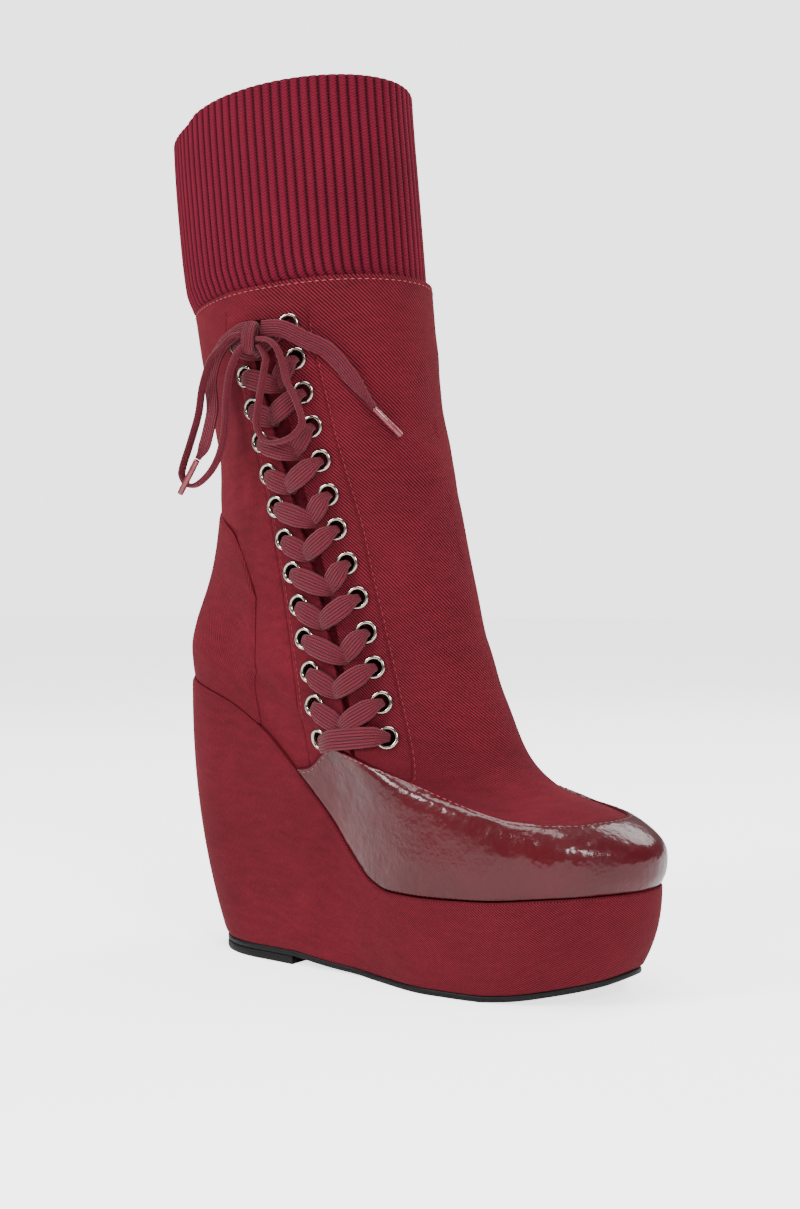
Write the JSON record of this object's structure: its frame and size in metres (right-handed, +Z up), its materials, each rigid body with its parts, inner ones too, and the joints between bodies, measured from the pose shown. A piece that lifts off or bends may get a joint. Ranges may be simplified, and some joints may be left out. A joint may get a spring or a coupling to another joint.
{
  "type": "wedge ankle boot",
  "caption": "Right high wedge ankle boot: hollow cloth upper laced on its outer side, ribbed knit cuff, patent mudguard, covered platform wedge and rubber outsole",
  "frame": {"origin": "on the floor, under the middle of the heel lift's tread", "axes": "+Z up; +X to the toe; +Y to the inner side of the foot; the laced outer side faces -Y"},
  "size_m": [0.2381, 0.1106, 0.38],
  "materials": {
    "twill": "matt burgundy cotton twill",
    "wedge_cloth": "burgundy cloth, fine upright ribs",
    "patent": "high gloss wine patent",
    "knit": "ribbed crimson knit",
    "rubber": "satin black rubber",
    "lining": "matt lining cloth",
    "nickel": "polished nickel plate",
    "lace": "flat braid, dark burgundy",
    "aglet": "clear shrink tube over braid"
  },
  "bodies": {
    "root": {"aglet_left": "aglet", "aglet_right": "aglet", "eyelet_front_01": "nickel", "eyelet_front_02": "nickel", "eyelet_front_03": "nickel", "eyelet_front_04": "nickel", "eyelet_front_05": "nickel", "eyelet_front_06": "nickel", "eyelet_front_07": "nickel", "eyelet_front_08": "nickel", "eyelet_front_09": "nickel", "eyelet_front_10": "nickel", "eyelet_front_11": "nickel", "eyelet_front_12": "nickel", "eyelet_front_13": "nickel", "eyelet_rear_01": "nickel", "eyelet_rear_02": "nickel", "eyelet_rear_03": "nickel", "eyelet_rear_04": "nickel", "eyelet_rear_05": "nickel", "eyelet_rear_06": "nickel", "eyelet_rear_07": "nickel", "eyelet_rear_08": "nickel", "eyelet_rear_09": "nickel", "eyelet_rear_10": "nickel", "eyelet_rear_11": "nickel", "eyelet_rear_12": "nickel", "eyelet_rear_13": "nickel", "gusset": "twill", "heel_counter": "twill", "heel_lift": "rubber", "insole": "lining", "knit_cuff": "knit", "lace_crossing_01": "lace", "lace_crossing_02": "lace", "lace_crossing_03": "lace", "lace_crossing_04": "lace", "lace_crossing_05": "lace", "lace_crossing_06": "lace", "lace_crossing_07": "lace", "lace_crossing_08": "lace", "lace_crossing_09": "lace", "lace_crossing_10": "lace", "lace_crossing_11": "lace", "lace_crossing_12": "lace", "lace_end_left": "lace", "lace_end_right": "lace", "lace_knot": "lace", "lace_loop_left": "lace", "lace_loop_middle": "lace", "mudguard": "patent", "outsole": "rubber", "upper": "twill", "wedge_platform": "wedge_cloth"}
  },
  "joints": []
}
